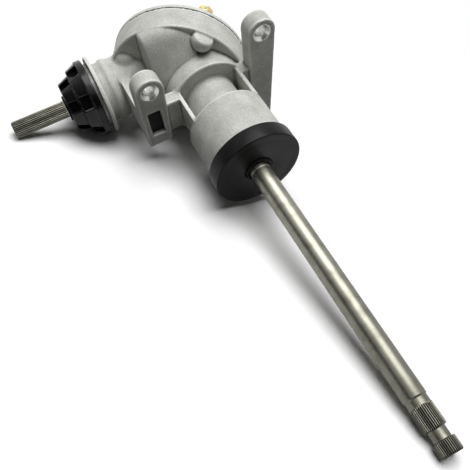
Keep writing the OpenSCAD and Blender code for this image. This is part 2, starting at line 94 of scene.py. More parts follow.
# %% From arrays to a piece
def piece(name, points, faces, body, slot, smooth=35):
    """A mesh from points in mm about the crossing point and rows of vertex numbers, riding on a body."""
    mesh = bpy.data.meshes.new(name)
    mesh.from_pydata((np.asarray(points) * MM + crossing).tolist(), [], np.asarray(faces).tolist())
    mesh.shade_smooth()
    mesh.set_sharp_from_angle(angle=math.radians(smooth))
    made = bpy.data.objects.new(name, mesh)
    bpy.context.scene.collection.objects.link(made)
    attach(made, body)
    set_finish(made, slot)
    print(name, len(mesh.vertices), "points", len(mesh.polygons), "faces")
    return made


# %% [markdown]
# A casting has no sharp inner corners: molten metal needs round blends, so every rib and boss flows into
# its neighbour. Boolean cuts with a Bevel modifier could do it, but bevels fail where many forms meet. A
# distance field doesn't. Each simple form is a function that says how far a point lies from its skin, and a
# soft minimum joins two forms with a fillet of a chosen width.


# %% Distances to simple forms
def soft_min(a, b, width):
    """Smaller of two distances, blended: b + (a - b) h - width h (1 - h), where h runs from 0 to 1."""
    h = np.clip(0.5 + 0.5 * (b - a) / width, 0, 1)
    return b + (a - b) * h - width * h * (1 - h)


def soft_max(a, b, width):
    """Larger of two distances, with the same blend turned over."""
    return -soft_min(-a, -b, width)


def rounded(a, b, edge):
    """Where two walls a and b meet in a convex corner: the distance to that corner rounded by edge."""
    a, b = a + edge, b + edge
    return np.minimum(np.maximum(a, b), 0) + np.hypot(np.maximum(a, 0), np.maximum(b, 0)) - edge


def bar(along, radius, low, high, r, edge=1.0):
    """Round bar of radius r from low to high on its axis."""
    return rounded(radius - r, np.abs(along - (low + high) / 2) - (high - low) / 2, edge)


def cone(along, radius, low, high, r_low, r_high, edge=1.0):
    """Round bar whose radius runs from r_low to r_high: wall distance times the cosine of its slope."""
    slope = (r_high - r_low) / (high - low)
    wall = (radius - r_low - slope * (along - low)) / math.hypot(1, slope)
    return rounded(wall, np.abs(along - (low + high) / 2) - (high - low) / 2, edge)


def block(p, low, high, edge=1.0):
    """Box between two corners: the length of what sticks out past its rounded walls."""
    low, high = np.array(low, float), np.array(high, float)
    q = np.abs(p - (low + high) / 2) - (high - low) / 2 + edge
    return np.minimum(q.max(-1), 0) + np.linalg.norm(np.maximum(q, 0), axis=-1) - edge


print("a blend 2 mm wide adds", -soft_min(0.0, 0.0, 2.0), "mm where two skins meet")

# %% [markdown]
# The skin of a field is found with surface nets: the space is cut into small cells, each cell that the skin
# crosses gets one point at the mean of the crossings on its edges, and four such points round a crossed grid
# edge make one face. Blender's Remesh modifier works in a like way, but only on a mesh that exists already. A
# few Newton steps then pull each point onto the true skin.

# %% Skin of a distance field
CORNERS = np.array([[i, j, k] for i in (0, 1) for j in (0, 1) for k in (0, 1)])
CORNER_PAIRS = [(a, b) for a in range(8) for b in range(a + 1, 8)]
CELL_EDGES = [(a, b) for a, b in CORNER_PAIRS if np.abs(CORNERS[a] - CORNERS[b]).sum() == 1]
NEWTON_STEPS, SLOPE_REACH, LONGEST_MOVE = 3, 0.05, 0.3


def at_corner(grid, corner):
    """The values of a grid at one corner of every cell."""
    return grid[tuple(slice(c, c - 1 or None) for c in corner)]


def slope_of(field, p, reach):
    """Gradient of a field by central differences over reach."""
    sides = np.eye(3) * reach
    return np.stack([field(p + s) - field(p - s) for s in sides], -1) / (2 * reach)


def crossing_mean(d, cells):
    """For each cell, the mean of the places on its edges where the distance d passes zero."""
    corner = cells[:, None] + CORNERS
    value = d[corner[..., 0], corner[..., 1], corner[..., 2]]
    total, hits = np.zeros((len(cells), 3)), np.zeros(len(cells))
    for a, b in CELL_EDGES:
        crossed = (value[:, a] < 0) != (value[:, b] < 0)
        t = np.where(crossed, value[:, a] / np.where(crossed, value[:, a] - value[:, b], 1), 0)
        total += crossed[:, None] * (CORNERS[a] + t[:, None] * (CORNERS[b] - CORNERS[a]))
        hits += crossed
    return cells + total / hits[:, None]


def settled(field, points, step):
    """Points moved onto the skin: each goes back along the slope by distance over slope squared."""
    for _ in range(NEWTON_STEPS):
        g = slope_of(field, points, SLOPE_REACH)
        move = g * (field(points) / np.maximum((g * g).sum(-1), 0.1))[:, None]
        points = points - np.clip(move, -LONGEST_MOVE * step, LONGEST_MOVE * step)
    return points


def net(solid, cells, shape):
    """Quads between the four cells round each grid edge that the skin crosses, facing out of the solid."""
    number = np.full(shape, -1)
    number[tuple(cells.T)] = np.arange(len(cells))
    faces = []
    for k in range(3):
        p, q = (k + 1) % 3, (k + 2) % 3
        first, second = np.moveaxis(solid, k, 0)[:-1], np.moveaxis(solid, k, 0)[1:]
        at = np.argwhere(np.moveaxis(first != second, 0, k))
        at = at[(at[:, p] > 0) & (at[:, q] > 0)]
        at = at[(at[:, p] < shape[p]) & (at[:, q] < shape[q])]
        step_p, step_q = np.eye(3, dtype=int)[p], np.eye(3, dtype=int)[q]
        ring = [number[tuple((at - s).T)] for s in (step_p + step_q, step_q, 0 * step_p, step_p)]
        quad = np.stack(ring, 1)
        outward = solid[tuple(at.T)]
        faces.append(np.where(outward[:, None], quad, quad[:, ::-1]))
    return np.concatenate(faces)


def skin(field, low, high, step):
    """Points and quads where a field changes sign, on a grid of cells of the given step."""
    axes = [np.arange(a, b + step, step) for a, b in zip(low, high)]
    grid = np.stack(np.meshgrid(*axes, indexing="ij"), -1)
    d = np.concatenate([field(part) for part in np.array_split(grid, 12)])
    solid = d < 0
    count = sum(at_corner(solid, c).astype(np.int8) for c in CORNERS)
    cells = np.argwhere((count > 0) & (count < 8))
    points = settled(field, np.array(low) + step * crossing_mean(d, cells), step)
    return points, net(solid, cells, count.shape)


print("a cell has", len(CELL_EDGES), "edges")

# %% [markdown]
# On the real part, edges are rubbed bright by handling and dust stays in the corners, and the corners also
# get painted shade. A finish can show that if it knows where the skin bends. The mean of the field a little
# way off on six sides tells it: it is above zero on an edge, below zero in a corner and nothing on a flat.
# It is kept on the mesh as an attribute.
# A Pointiness node could do it too, but what it shows depends on how fine the mesh is.


# %% A piece from a field
def carved(name, field, box, step, body, slot, reach=2.2):
    """A piece from a field inside a box, with its bend kept as the attribute edge, in mm."""
    points, faces = skin(field, *box, step)
    made = piece(name, points, faces, body, slot, 50)
    sides = np.concatenate([np.eye(3), -np.eye(3)]) * reach
    bend = np.mean([field(points + s) for s in sides], 0)
    edge = made.data.attributes.new("edge", "FLOAT", "POINT")
    edge.data.foreach_set("value", bend.astype(np.float32))
    return made


# %% [markdown]
# The casting comes next. Three axes carry all of it: the column line, the stub line and the cover axis,
# which stands between the two at 60 degrees. Its sizes are those of the solid model, in millimetres, and
# each is named for what a foundry would call it. The fillets say how softly two forms run together.

# %% Sizes of the casting
BELL_R, CHAMBER_R = 60.0, 51.0
COVER_TURN, COVER_DROP = math.radians(60), 5.0
FLANGE_R, FLANGE_T, FLANGE_SHIFT = 69.0, 25.0, 3.0
BOLT_CIRCLE, BOSS_R = 59.5, 10.5
BOLT_TURNS = np.radians([28, 118, 208, 298])
BOSS_LENS = [27.0, 22.0, 27.0, 22.0]
COLLAR_R, COLLAR_END, HOOD_START, HOOD_END, HOOD_R = 41.0, 62.0, 20.0, 47.0, 82.0
NECK_R, TUBE_START, TUBE_R, TUBE_END = 26.0, 100.0, 40.0, 158.0
SNOUT_R, SNOUT_START, SNOUT_END, SNOUT_FLAT = 30.0, 33.0, 97.0, 45.0
RIM_R, RIM_T, BEAD_R = 39.0, 4.0, 5.0
LUG_FACE, LUG_T, LUG_W, LUG_HOLE, COUNTERSINK = 74.5, 16.5, 28.0, 5.5, 3.0
LEFT_LUG = dict(x=-60.3, z=50.0, drop=19.0, taper=4.0)
RIGHT_LUG = dict(x=55.0, z=64.0, drop=52.0, taper=7.5)
WINDOW_X, WINDOW_Z, WINDOW_W, WINDOW_H = LEFT_LUG["x"] - 8.2, -5.5, 13.6, 30.5
WEB_LOW, WEB_TOP, WEB_BACK, WEB_FRONT = -12.0, 24.0, -57.5, -71.0
STAY_LOW, STAY_HIGH = [-74.3, -59.0, -12.0], [-64.3, -15.0, 24.0]
FILLET, NECK_FILLET, BOSS_FILLET, FLANGE_FILLET, COLLAR_FILLET = 2.5, 3.0, 1.5, 0.6, 1.2
RIM_FILLET, BEAD_FILLET, LUG_FILLET, WEB_EDGE, CUT_EDGE = 4.5, 1.8, 2.0, 0.8, 0.8
print("flange", 2 * FLANGE_R, "mm across, tube", 2 * TUBE_R, "mm, lug holes", 2 * LUG_HOLE, "mm")

# %% [markdown]
# A turned form needs only two numbers for each point in space: how far along its axis the point is, and
# how far from it. Three functions give them for the three axes, so that every later form is written as on
# a lathe.


# %% Places on the three axes
def on_column(p):
    """Place along the column line and distance from it."""
    return -p[..., 1], np.hypot(p[..., 0], p[..., 2])


def on_stub(p):
    """Place along the stub line and distance from it."""
    return -p[..., 0], np.hypot(p[..., 1], p[..., 2])


def on_cover(p):
    """Height above the cover joint and the two places in its plane: toward +Z, and toward the tube."""
    height = p[..., 0] * math.cos(COVER_TURN) + p[..., 1] * math.sin(COVER_TURN) + COVER_DROP
    side = p[..., 0] * math.sin(COVER_TURN) - p[..., 1] * math.cos(COVER_TURN)
    return height, p[..., 2], side


def bolt_spot(i):
    """Place of bolt i in the plane of the cover."""
    return BOLT_CIRCLE * math.cos(BOLT_TURNS[i]), BOLT_CIRCLE * math.sin(BOLT_TURNS[i])


print("bolts at", [np.round(bolt_spot(i), 1).tolist() for i in range(4)])

# %% [markdown]
# Two lugs hold the gearbox to its bracket. Each is an upright bar with a round top that tapers toward its
# foot, and a web ties it to the collar and the tube. They could be extruded outlines with a bevel, but as
# fields they take the same fillets as the rest of the casting.

# %% Lugs and webs
TOP_INSIDE = 0.03
ARM_START, RIB_IN, RIB_OUT = 30.5, 29.8, 33.6


def lug(p, x, z, drop, taper):
    """Upright bar with a round top: the nearer of a disc and a tapered board, with rounded rims."""
    u, v = p[..., 0] - x, p[..., 2]
    lean = taper / (z + drop)
    right = (u - LUG_W / 2 + lean * (z - v)) / math.hypot(1, lean)
    board = rounded(np.maximum(right, -u - LUG_W / 2), np.maximum(-drop - v, v - z), 0.5)
    outline = np.minimum(board, np.hypot(u, v - z) - LUG_W / 2 + TOP_INSIDE)
    return rounded(outline, np.abs(p[..., 1] + LUG_FACE - LUG_T / 2) - LUG_T / 2, 1.2)


def web(p, side, reach):
    """Bracket from the collar to a lug, with a thin rib on to the tube: the nearer of two boxes."""
    q = p * [side, 1, 1]
    arm = block(q, [ARM_START, WEB_FRONT, WEB_LOW], [reach, WEB_BACK, WEB_TOP], WEB_EDGE)
    rib = block(q, [RIB_IN, -TUBE_START - 2, WEB_LOW], [RIB_OUT, WEB_BACK, WEB_TOP], WEB_EDGE)
    return np.minimum(arm, rib)


print("lug tops at", LEFT_LUG["z"] + LUG_W / 2, "and", RIGHT_LUG["z"] + LUG_W / 2, "mm")

# %% [markdown]
# The hood is the broad shoulder between the collar and the cover flange. A slanted cone trimmed by the flange
# gives its slope, and a quarter is left out at the upper right, where the bolt boss stands free. The soft
# maximum of cone and flange makes the long round edge that catches the light.

# %% Hood
NOTCH_START, NOTCH_END = math.radians(3), math.radians(90)


def hood(p):
    """Shoulder from the collar out to the flange: inside the flange, under a cone, outside the notch."""
    u, r = on_column(p)
    _, up, side = on_cover(p)
    band = np.hypot(up, side + FLANGE_SHIFT) - FLANGE_R + 0.5
    run, rise = HOOD_END - HOOD_START, HOOD_R - COLLAR_R
    slant = ((r - COLLAR_R) * run + (u - HOOD_END) * rise) / math.hypot(run, rise)
    x, z = p[..., 0], p[..., 2]
    first = x * math.sin(NOTCH_START) - z * math.cos(NOTCH_START)
    last = z * math.cos(NOTCH_END) - x * math.sin(NOTCH_END)
    d = soft_max(soft_max(band, slant, 9), -u, 2)
    return soft_max(d, -np.maximum(first, last), 1.5)


hood_rise = math.degrees(math.atan2(HOOD_R - COLLAR_R, HOOD_END - HOOD_START))
print("the hood rises at", round(hood_rise), "degrees")

# %% [markdown]
# After casting, the chamber is opened and the seats of the bearings, the bolt holes, the lug holes and the
# window are cut. Each cutter is a field too. Its blend is small, because a cutting tool leaves a crisp edge.

# %% Tools that cut the casting
COLUMN_BORES = [(20, 60, 21), (59, 105, 17), (104, 129, 26), (128, 170, 31)]
STUB_BORES = [(20, 57, 20), (56, 110, 23.5)]
BOLT_BORE, BOLT_DEPTH = 4.0, 26.0
HOLE_SKIN_GAP, CONE_RISE = 0.15, 2.0


def cutters(p):
    """Distances to the cutting tools: chamber, bearing seats, bolt holes, lug holes and window."""
    u, r = on_column(p)
    v, s = on_stub(p)
    height, up, side = on_cover(p)
    cuts = [np.linalg.norm(p, axis=-1) - CHAMBER_R]
    cuts += [bar(u, r, *bore) for bore in COLUMN_BORES]
    cuts += [bar(v, s, *bore) for bore in STUB_BORES]
    for i in range(4):
        a, b = bolt_spot(i)
        cuts.append(bar(height, np.hypot(up - a, side - b), -BOLT_DEPTH, 9, BOLT_BORE, 0.3))
    sink = COUNTERSINK + HOLE_SKIN_GAP
    for part in (LEFT_LUG, RIGHT_LUG):
        q = np.hypot(p[..., 0] - part["x"], p[..., 2] - part["z"])
        back, front = LUG_FACE - LUG_T - 3, LUG_FACE + 3
        cuts.append(bar(-p[..., 1], q, back, front, LUG_HOLE + HOLE_SKIN_GAP, 0.1))
        wide = LUG_HOLE + CONE_RISE + sink
        cuts.append(cone(-p[..., 1] - LUG_FACE, q, -sink, CONE_RISE, LUG_HOLE, wide, 0.1))
    window = [WINDOW_X, -90, WINDOW_Z]
    cuts.append(block(p, window, np.add(window, [WINDOW_W, 40, WINDOW_H]), 0.4))
    return cuts


print("tools", len(cutters(np.zeros((1, 3)))))

# %% [markdown]
# Now the whole housing, in the order of the real part: bell and hood, flange and bolt bosses, then collar,
# neck and tube, then the snout with its bead and rim, and last the webs, the stay and the lugs. The joint
# face is planed flat, and the tools cut in at the end.


# %% Field of the casting
def snout(v, s):
    """Round nose of the stub side: a bar, a flared rim at its end and a bead behind the rim."""
    rim = bar(v, s, SNOUT_END - RIM_T, SNOUT_END, RIM_R, 1.0)
    nose = soft_min(bar(v, s, SNOUT_START, SNOUT_END, SNOUT_R), rim, RIM_FILLET)
    bead = np.hypot(v - SNOUT_END + RIM_T + 11, s - SNOUT_R + 3) - BEAD_R
    return soft_min(nose, bead, BEAD_FILLET)


def bosses(d, height, up, side, out):
    """A distance joined with four round-ended bolt bosses, each kept inside the flange."""
    for i, length in enumerate(BOSS_LENS):
        a, b = bolt_spot(i)
        off = np.hypot(up - a, side - b)
        ball = np.hypot(off, np.minimum(height + length, 0)) - BOSS_R
        boss = soft_max(np.maximum(ball, height), out - FLANGE_R + 2, BOSS_FILLET)
        d = soft_min(d, boss, BOSS_FILLET)
    return d


def casting(p):
    """Distance to the skin of the housing: soft minimum of its forms, less the cutting tools."""
    u, r = on_column(p)
    v, s = on_stub(p)
    height, up, side = on_cover(p)
    out = np.hypot(up, side + FLANGE_SHIFT)
    d = soft_min(np.linalg.norm(p, axis=-1) - BELL_R, hood(p), FILLET)
    d = soft_max(soft_max(d, v - SNOUT_FLAT, NECK_FILLET), u - HOOD_END, NECK_FILLET)
    d = soft_min(d, bar(height, out, -FLANGE_T, 6, FLANGE_R, 1.2), FLANGE_FILLET)
    d = bosses(d, height, up, side, out)
    collar = cone(u, r, HOOD_END - 9, COLLAR_END, COLLAR_R + 1.5, COLLAR_R, 1.4)
    d = soft_min(d, collar, COLLAR_FILLET)
    d = soft_min(d, bar(u, r, HOOD_END, TUBE_START + 4, NECK_R), NECK_FILLET)
    d = soft_min(d, bar(u, r, TUBE_START, TUBE_END, TUBE_R, 2.0), FILLET)
    d = soft_min(d, snout(v, s), FILLET)
    d = soft_min(d, web(p, -1, 51), FILLET)
    d = soft_min(d, web(p, 1, 46), FILLET)
    d = soft_min(d, block(p, STAY_LOW, STAY_HIGH, WEB_EDGE), FILLET)
    d = soft_min(d, np.minimum(lug(p, **LEFT_LUG), lug(p, **RIGHT_LUG)), LUG_FILLET)
    d = np.maximum(d, height)
    for cut in cutters(p):
        d = soft_max(d, -cut, CUT_EDGE)
    return d


# %% [markdown]
# The step of the grid decides how fine the mesh is. At 1.36 mm the casting stays under 200,000 triangles and
# its fillets are still round.

# %% Make the casting
CAST_STEP = 1.36
CAST_BOX = [-100, -161, -73], [74, 74, 81]
housing = carved("cast_housing", casting, CAST_BOX, CAST_STEP, "housing", "cast_aluminium")
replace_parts(housing, "housing")

# %% [markdown]
# The camera stands where the photograph's stood: its place and turn were worked out from the two shaft
# lines, which cross at a right angle, and from the round rims of the cap and the cover. The rows of the turn
# are the picture's right, its down and the way the camera looks.

# %% Camera
CAMERA_PLACE = np.array([-134.3, -442.8, 428.3])
CAMERA_TURN = np.array([[0.8852, -0.4595, -0.0724],
                        [-0.4334, -0.7583, -0.4870],
                        [0.1689, 0.4625, -0.8704]])
FOCAL_PIXELS, PICTURE_PIXELS, SENSOR = 570, 470, 36.0
camera = bpy.data.objects.new("camera", bpy.data.cameras.new("camera"))
bpy.context.scene.collection.objects.link(camera)
turn = Matrix((CAMERA_TURN * [[1], [-1], [-1]]).T.tolist()).to_4x4()
camera.matrix_world = Matrix.Translation(CAMERA_PLACE * MM + crossing) @ turn
camera.data.sensor_width = SENSOR
camera.data.lens = SENSOR * FOCAL_PIXELS / PICTURE_PIXELS
camera.data.clip_end = 20
bpy.context.scene.camera = camera
print("camera at", camera.location[:])

# %% [markdown]
# Turned pieces come off a lathe, so one half section carried round an axis gives the whole piece. The Screw
# modifier could turn it, but arrays also let the radius change with the turn, which the serrations need.
# Sharp corners of the section are first replaced by short arcs, because a real turned edge is always broken,
# and that thin line of light is what makes it look like metal or rubber.


# %% Sections carried round an axis
def eased(section, size, count=5):
    """Each corner of a closed section replaced by a quadratic arc from size before it to size after it."""
    c = np.array(section, float)
    before, after = np.roll(c, 1, 0) - c, np.roll(c, -1, 0) - c
    a = c + before * np.minimum(size / np.linalg.norm(before, axis=1), 0.45)[:, None]
    b = c + after * np.minimum(size / np.linalg.norm(after, axis=1), 0.45)[:, None]
    t = np.linspace(0, 1, count)[:, None, None]
    arcs = (1 - t) ** 2 * a + 2 * t * (1 - t) * c + t**2 * b
    return arcs.transpose(1, 0, 2).reshape(-1, c.shape[1])


def whole_turn(sides):
    """Angles of a full turn in equal steps."""
    return np.linspace(0, 2 * np.pi, sides, endpoint=False)


def around(along, radius, turn, axis):
    """Points at a place along a shaft line, a distance from it and a turn about it."""
    along, across, up = np.broadcast_arrays(along, radius * np.cos(turn), radius * np.sin(turn))
    if axis == "column":
        return np.stack([across, -along, up], -1)
    return np.stack([-along, -across, up], -1)


def grid_faces(rows, columns):
    """Quads of a grid that closes on itself both ways, as rows of vertex numbers."""
    i, j = np.meshgrid(np.arange(rows), np.arange(columns), indexing="ij")
    down, right = (i + 1) % rows, (j + 1) % columns
    quads = [i * columns + j, i * columns + right, down * columns + right, down * columns + j]
    return np.stack(quads, -1).reshape(-1, 4)


def turned(name, section, axis, slot, edge, sides=144):
    """Closed half section of (place, radius) corners, in a ring, eased and carried round a shaft line."""
    s = eased(section, edge)
    p = around(s[:, :1], s[:, 1:], whole_turn(sides)[None], axis)
    return piece(name, p.reshape(-1, 3), grid_faces(len(s), sides), "housing", slot)


# %% [markdown]
# A black rubber cap closes the end of the column tube, and a lip seal in its middle wipes the shaft. The face
# of the cap sinks a little toward the seal. Both are moulded in round dies, so they are turned sections, and
# the rim gets a large easing for a soft rubber edge.

# %% Cap and column seal
CAP_START, CAP_END, CAP_R, CAP_BORE, CAP_DISH, CAP_SINK = 148.7, 164.8, 43.4, 13.7, 36.0, 0.6
CAP_FIT = 0.1
cap_in, cap_back, cap_face = TUBE_R + CAP_FIT, TUBE_END + CAP_FIT, CAP_END - CAP_SINK
cap_section = [[CAP_START, cap_in], [CAP_START, CAP_R], [CAP_END, CAP_R], [cap_face, CAP_DISH],
               [cap_face, CAP_BORE], [cap_back, CAP_BORE], [cap_back, cap_in]]
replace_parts(turned("rubber_cap", cap_section, "column", "black_rubber", 1.3), "tube_cap")
LIP_IN, LIP_OUT, LIP_BACK = 10.25, 13.5, TUBE_END + 0.5
lip_section = [[LIP_BACK, LIP_IN], [LIP_BACK, LIP_OUT], [CAP_END - 0.2, LIP_OUT], [CAP_END + 1.2, 12.6],
               [CAP_END + 1.4, 11.2], [CAP_END, LIP_IN]]
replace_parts(turned("lip_seal", lip_section, "column", "seal_rubber", 0.7), "column_seal")

# %% [markdown]
# On the stub side, a plain steel ring lies between the snout and the lock ring, and a small seal fills the
# bore of the adjuster. Their places follow from the lock ring and the adjuster, whose sizes are given here.

# %% Spacer ring and stub seal
LOCK_START, LOCK_T, LOCK_R = 104.0, 14.5, 38.5
HEAD_START, HEAD_T, HEAD_R = 118.5, 12.0, 29.0
PLUG_R, STUB_R, SPACER_R, THREAD_FIT = 23.5, 8.5, 33.0, 0.05
spacer_in = PLUG_R + THREAD_FIT
spacer_section = [[SNOUT_END, spacer_in], [SNOUT_END, SPACER_R],
                  [LOCK_START, SPACER_R], [LOCK_START, spacer_in]]
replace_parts(turned("ring_spacer", spacer_section, "stub", "bright_steel", 0.6), "spacer_ring")
seal_in, seal_back, seal_front = STUB_R + 0.25, HEAD_START + 7.2, HEAD_START + HEAD_T + 2
stub_lip = [[seal_back, seal_in], [seal_back, 13.4], [seal_front, 12.6], [seal_front, seal_in]]
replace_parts(turned("stub_lip_seal", stub_lip, "stub", "seal_rubber", 0.8), "stub_seal")

# %% [markdown]
# The two lug holes are drilled and countersunk after blasting, so they shine. A second material on the
# faces of the casting would leave a ragged line, because its grid doesn't follow the hole. A thin turned
# skin in each hole gives the cut a true round edge, and a finish of its own.

# %% Machined lug holes
HOLE_SKIN, HOLE_INSIDE = 0.5, 0.1


def drilled(name, x, z):
    """Ring round the axis of a lug hole, whose inner side is the countersink and the hole."""
    front, back = LUG_FACE - HOLE_INSIDE, LUG_FACE - LUG_T + HOLE_INSIDE
    mouth, sink, outer = LUG_HOLE + COUNTERSINK - HOLE_INSIDE, LUG_FACE - COUNTERSINK, LUG_HOLE + HOLE_SKIN
    section = [[front, mouth], [sink, LUG_HOLE], [back, LUG_HOLE], [back, outer],
               [sink - HOLE_SKIN, outer], [front, mouth + HOLE_SKIN]]
    s = eased(section, 0.15)
    turn = whole_turn(96)
    p = around(s[:, :1], s[:, 1:], turn[None], "column") + [x, 0, z]
    return piece(name, p.reshape(-1, 3), grid_faces(len(s), len(turn)), "housing", "cast_aluminium")


lug_holes = [drilled("left_lug_hole", LEFT_LUG["x"], LEFT_LUG["z"]),
             drilled("right_lug_hole", RIGHT_LUG["x"], RIGHT_LUG["z"])]

# %% [markdown]
# The shafts are turned too, with serrations rolled into them. A bump could only draw the grooves, and they
# would vanish at the outline. So the surface is a function of the place along the shaft and the turn about
# it: the radius of the section at that place, less a wave of V grooves whose depth rises and falls along the
# serrated bands. How deep a point lies in its groove is kept as an attribute for the finish.

# %% Serrated bars
POINTS_PER_TOOTH = 10


def serrated_bar(name, section, teeth, axis, slot):
    """Rows of (place, radius, groove depth): radius less depth times a clipped triangle wave of the turn."""
    s = eased(section, 0.4, 4)
    turn = whole_turn(teeth * POINTS_PER_TOOTH)
    wave = np.abs((turn * teeth / (2 * np.pi)) % 1 * 2 - 1)
    groove = np.clip(wave * 1.5 - 0.25, 0, 1)
    radius = s[:, 1:2] - s[:, 2:3] * groove
    p = around(s[:, :1], radius, turn[None], axis)
    made = piece(name, p.reshape(-1, 3), grid_faces(len(s), len(turn)), axis, slot, 30)
    deep = (s[:, 2:3] * groove / s[:, 2].max()).astype(np.float32)
    made.data.attributes.new("groove", "FLOAT", "POINT").data.foreach_set("value", deep.ravel())
    return made


# %% [markdown]
# The column shaft: seats for gear and bearings inside, a long ground bar outside, a step down to the first
# serrated band, the groove for the pinch bolt, and a second short band with a centre hole in its end. Each
# row of the section holds the place along the shaft, the radius and the depth of the grooves.

# %% Column shaft
CORE_R, COLUMN_R, GROOVE_R, COLUMN_TEETH = 0.05, 9.8, 7.2, 36
step_r, band_r, end_r = COLUMN_R - 0.8, COLUMN_R - 0.4, COLUMN_R - 0.6
inner_part = [[7, CORE_R, 0], [7, 7.5, 0], [15, 7.5, 0], [15, 9.5, 0], [48, 9.5, 0], [48, 10, 0],
              [60, 10, 0], [60, 13, 0], [128, 13, 0], [128, 15, 0], [144.3, 15, 0], [144.3, 13.8, 0],
              [146, 13.8, 0], [146, 15, 0], [147.4, 15, 0], [147.4, 10.1, 0], [169, 10.1, 0]]
ground_part = [[169.4, COLUMN_R, 0], [401.2, COLUMN_R, 0], [402, step_r, 0], [407.5, step_r, 0]]
first_band = [[409, band_r, 0.7], [424, band_r, 0.7], [425.3, COLUMN_R - 0.5, 0.5]]
pinch_groove = [[425.8, GROOVE_R, 0], [433.8, GROOVE_R, 0]]
second_band = [[434.3, COLUMN_R - 0.7, 0.5], [435.2, end_r, 0.7], [443.6, end_r, 0.7],
               [445, COLUMN_R - 1.4, 0.3], [445, 2.0, 0], [441, CORE_R, 0]]
column_section = inner_part + ground_part + first_band + pinch_groove + second_band
column_bar = serrated_bar("column_bar", column_section, COLUMN_TEETH, "column", "ground_steel")
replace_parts(column_bar, "column_shaft")

# %% [markdown]
# The stub shaft is made the same way. It is serrated from the adjuster to its tip, with slightly coarser
# grooves, and its inner part has the seats for its own gear, bearings and spacer tube.

# %% Stub shaft
STUB_TEETH = 28
inner_part = [[15, CORE_R, 0], [15, 7, 0], [26, 7, 0], [26, 9, 0], [56, 9, 0], [56, 10, 0], [70, 10, 0],
              [70, 12.5, 0], [80, 12.5, 0], [80, 10, 0], [96, 10, 0], [96, 8.65, 0], [132.6, 8.65, 0]]
serrated_part = [[134, STUB_R, 0.7], [186.6, STUB_R, 0.7], [188, 7.6, 0.2], [188, 2.0, 0], [184.5, CORE_R, 0]]
stub_bar = serrated_bar("stub_bar", inner_part + serrated_part, STUB_TEETH, "stub", "serrated_steel")
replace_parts(stub_bar, "stub_shaft")

# %% [markdown]
# The adjuster screws into the snout and the lock ring jams it. Both are moulded with deep spanner slots, and
# every edge is slightly round, so a distance field suits them as it suits the casting: a cone, less a ring of
# slots.

# %% Lock ring and adjuster
SKIRT, FINE_STEP, FINE_REACH = 3.6, 0.8, 1.2
SLOT_TURNS = np.radians([10, 70, 130, 190, 250, 310])
LOCK_SLOT, HEAD_SLOT, SLOT_EDGE = 15.0, 11.0, 0.8
LOCK_BOX = [-121, -41, -41], [-98, 41, 41]
HEAD_BOX = [-133, -32, -32], [-92, 32, 32]


def slots(p, inner, low, high, width):
    """Nearest of six radial slots, each a box from inner outward, turned about the stub line."""
    v, _ = on_stub(p)
    found = np.full(v.shape, 1e3)
    for a in SLOT_TURNS:
        out = p[..., 2] * math.cos(a) + p[..., 1] * math.sin(a)
        across = p[..., 1] * math.cos(a) - p[..., 2] * math.sin(a)
        q = np.stack([out, across, v], -1)
        found = np.minimum(found, block(q, [inner, -width / 2, low], [60, width / 2, high], 0.6))
    return found


def lock_field(p):
    """A disc with a skirt and a cone round the stub line, less the slots and the threaded hole."""
    v, s = on_stub(p)
    disc = bar(v, s, LOCK_START - SKIRT, LOCK_START + 4, LOCK_R, 0.8)
    skirt = soft_max(disc, -bar(v, s, 90, LOCK_START, SPACER_R + THREAD_FIT, 0.1), 0.4)
    body = cone(v, s, LOCK_START + 1, LOCK_START + LOCK_T, LOCK_R - 0.2, LOCK_R - 5.5, 0.8)
    d = np.minimum(skirt, body)
    d = soft_max(d, -slots(p, LOCK_R - 9, LOCK_START + 3.2, 130, LOCK_SLOT), SLOT_EDGE)
    return soft_max(d, PLUG_R + THREAD_FIT - s, 0.6)


def head_field(p):
    """The castellated head with its plug, bored for the stub shaft and its seal."""
    v, s = on_stub(p)
    d = cone(v, s, HEAD_START, HEAD_START + HEAD_T, HEAD_R, HEAD_R - 5, 1.0)
    d = soft_max(d, -slots(p, HEAD_R - 10, HEAD_START + 1, 140, HEAD_SLOT), SLOT_EDGE)
    d = np.minimum(d, bar(v, s, 94.3, HEAD_START + 1, PLUG_R - THREAD_FIT, 0.4))
    d = soft_max(d, -bar(v, s, 90, HEAD_START - 1, PLUG_R - 5, 0.5), 0.5)
    d = soft_max(d, STUB_R + 1.2 - s, 0.5)
    return soft_max(d, -bar(v, s, HEAD_START + HEAD_T - 5, 150, STUB_R + 5, 0.3), 0.6)


for name, field, box, node in (("notched_lock_ring", lock_field, LOCK_BOX, "lock_ring"),
                               ("castle_adjuster", head_field, HEAD_BOX, "adjuster")):
    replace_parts(carved(name, field, box, FINE_STEP, "housing", "black_plastic", FINE_REACH), node)

# %% [markdown]
# The cover is a dished casting that closes the gear chamber: a flat plate as wide as the flange, a low dome,
# and a hollow inside for the gear. Round the bolts it is cut flat, so that the washers sit square. It takes
# the same fields and the same grid step as the housing, so that both look cast in one foundry.

# %% Cover
PLATE_LOW, PLATE_TOP, DISH_LOW, DISH_TOP, HOLLOW_TOP = 1.0, 5.5, 2.0, 14.0, 10.8
DISH_FOOT_R, DISH_TOP_R, HOLLOW_R = CHAMBER_R + 9, CHAMBER_R + 1.8, CHAMBER_R - 1.5
SPOT_R, COVER_HOLE = 8.6, 4.5
COVER_BOX = [-66.39, -36.17, -72.43], [72, 80, 72]


